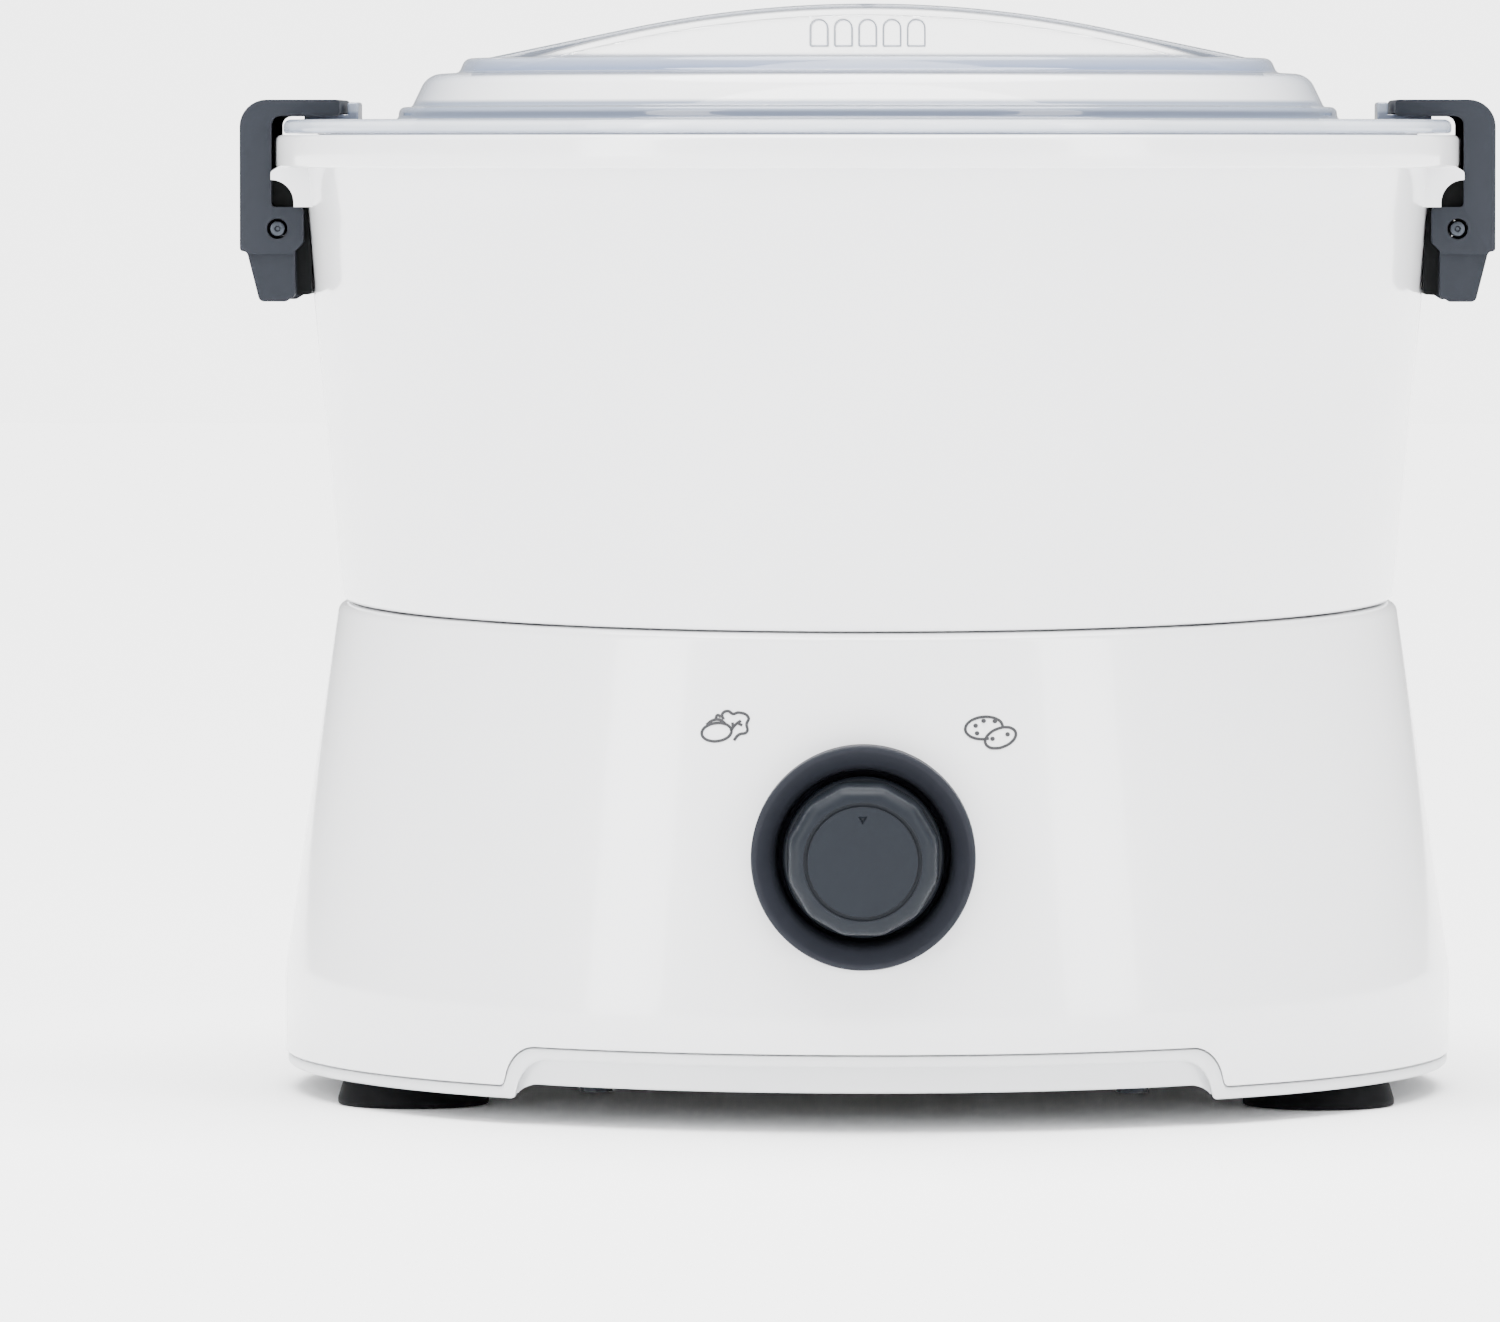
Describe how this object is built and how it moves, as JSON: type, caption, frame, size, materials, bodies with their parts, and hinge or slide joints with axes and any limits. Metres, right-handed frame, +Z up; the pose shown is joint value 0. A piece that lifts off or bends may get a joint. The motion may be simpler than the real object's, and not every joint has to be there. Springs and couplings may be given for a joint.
{
  "type": "electric potato peeler",
  "caption": "Worktop potato peeler: flared base with geared motor and front knob, lift-off bowl with an abrasive floor disc, clear lid held by rocker clips.",
  "frame": {"origin": "on the worktop, under the middle of the machine's outline", "axes": "+X to the right seen from the front, +Y to the back, +Z up; the knob faces -Y"},
  "size_m": [0.277, 0.2744, 0.2407],
  "materials": {
    "white_abs": "glossy moulded white",
    "pale_grey_abs": "satin moulded pale grey",
    "clip_grey_abs": "satin moulded grey",
    "knob_grey_abs": "satin moulded grey",
    "dark_grey_abs": "satin moulded dark grey",
    "black_rubber": "matte black",
    "clear_plastic": "clear, polished",
    "abrasive_coat": "dark grit bonded to the surface",
    "black_plastic": "matte black",
    "natural_nylon": "satin off-white",
    "ground_steel": "ground bright",
    "zinc_plated_steel": "dull zinc",
    "laminated_steel": "stacked sheet, satin",
    "sintered_bronze": "dull, oiled",
    "brass": "satin",
    "copper": "varnished copper",
    "carbon": "matte"
  },
  "bodies": {
    "base": {"base_housing": "white_abs", "bottom_cover": "pale_grey_abs", "knob_bezel": "dark_grey_abs", "suction_foot_front_left": "black_rubber", "suction_foot_front_right": "black_rubber", "suction_foot_back_right": "black_rubber", "suction_foot_back_left": "black_rubber", "cord_gland": "black_rubber", "shaft_seal": "black_rubber", "rotary_switch": "black_plastic", "idler_axle": "ground_steel", "cover_screw_front_left": "ground_steel", "cover_screw_front_right": "ground_steel", "cover_screw_back_right": "ground_steel", "cover_screw_back_left": "ground_steel", "plate_screw_front_left": "ground_steel", "plate_screw_front_right": "ground_steel", "plate_screw_back_right": "ground_steel", "plate_screw_back_left": "ground_steel", "gearbox_plate": "zinc_plated_steel", "motor_upper_bracket": "zinc_plated_steel", "motor_lower_bracket": "zinc_plated_steel", "switch_nut": "zinc_plated_steel", "motor_stator": "laminated_steel", "lower_shaft_bearing": "sintered_bronze", "upper_shaft_bearing": "sintered_bronze", "upper_motor_bearing": "sintered_bronze", "lower_motor_bearing": "sintered_bronze", "brush_holder_left": "brass", "brush_holder_right": "brass", "field_coil_front": "copper", "field_coil_back": "copper", "carbon_brush_left": "carbon", "carbon_brush_right": "carbon"},
    "drive": {"drive_shaft": "ground_steel", "drive_gear": "natural_nylon", "drive_dog": "black_plastic", "shaft_clip": "ground_steel"},
    "idler": {"idler_gear": "natural_nylon"},
    "rotor": {"motor_shaft": "ground_steel", "armature_core": "laminated_steel", "armature_windings": "copper", "commutator": "copper", "cooling_fan": "natural_nylon", "motor_pinion": "brass"},
    "knob": {"control_knob": "knob_grey_abs", "switch_spindle": "ground_steel"},
    "bowl": {"bowl": "white_abs", "lid": "clear_plastic", "left_clip_bracket": "black_plastic", "right_clip_bracket": "black_plastic", "left_clip_pin": "ground_steel", "right_clip_pin": "ground_steel"},
    "disc": {"peeling_disc": "abrasive_coat", "disc_hub": "dark_grey_abs", "disc_screw_1": "ground_steel", "disc_screw_2": "ground_steel", "disc_screw_3": "ground_steel"},
    "left_clip": {"left_clip": "clip_grey_abs"},
    "right_clip": {"right_clip": "clip_grey_abs"}
  },
  "joints": [
    {"name": "drive_spin", "type": "hinge", "parent": "base", "child": "drive", "pos_m": [0, 0.00435, 0.09], "axis": [0, 0, 1], "continuous": true},
    {"name": "idler_spin", "type": "hinge", "parent": "base", "child": "idler", "pos_m": [0, 0.05685, 0.081], "axis": [0, 0, 1], "continuous": true},
    {"name": "rotor_spin", "type": "hinge", "parent": "base", "child": "rotor", "pos_m": [-0.03622, 0.04714, 0.045], "axis": [0, 0, 1], "continuous": true},
    {"name": "disc_spin", "type": "hinge", "parent": "bowl", "child": "disc", "pos_m": [0, 0.00435, 0.13], "axis": [0, 0, 1], "continuous": true},
    {"name": "knob_turn", "type": "hinge", "parent": "base", "child": "knob", "pos_m": [0, 0, 0.0585], "axis": [0, 1, 0], "range_deg": [-45, 45]},
    {"name": "bowl_lift", "type": "slide", "parent": "base", "child": "bowl", "axis": [0, 0, 1], "range_m": [0, 0.14]},
    {"name": "right_clip_swing", "type": "hinge", "parent": "bowl", "child": "right_clip", "pos_m": [0.13025, 0.00435, 0.1909], "axis": [0, 1, 0], "range_deg": [0, 18.5], "stiffness_Nm_per_rad": 0.2, "springref_deg": -6.88},
    {"name": "left_clip_swing", "type": "hinge", "parent": "bowl", "child": "left_clip", "pos_m": [-0.13025, 0.00435, 0.1909], "axis": [0, -1, 0], "range_deg": [0, 18.5], "stiffness_Nm_per_rad": 0.2, "springref_deg": -6.88}
  ],
  "couplings": [
    {"joint": "idler_spin", "follows": "drive_spin", "ratio": -4},
    {"joint": "rotor_spin", "follows": "drive_spin", "ratio": 16},
    {"joint": "disc_spin", "follows": "drive_spin", "ratio": 1}
  ]
}
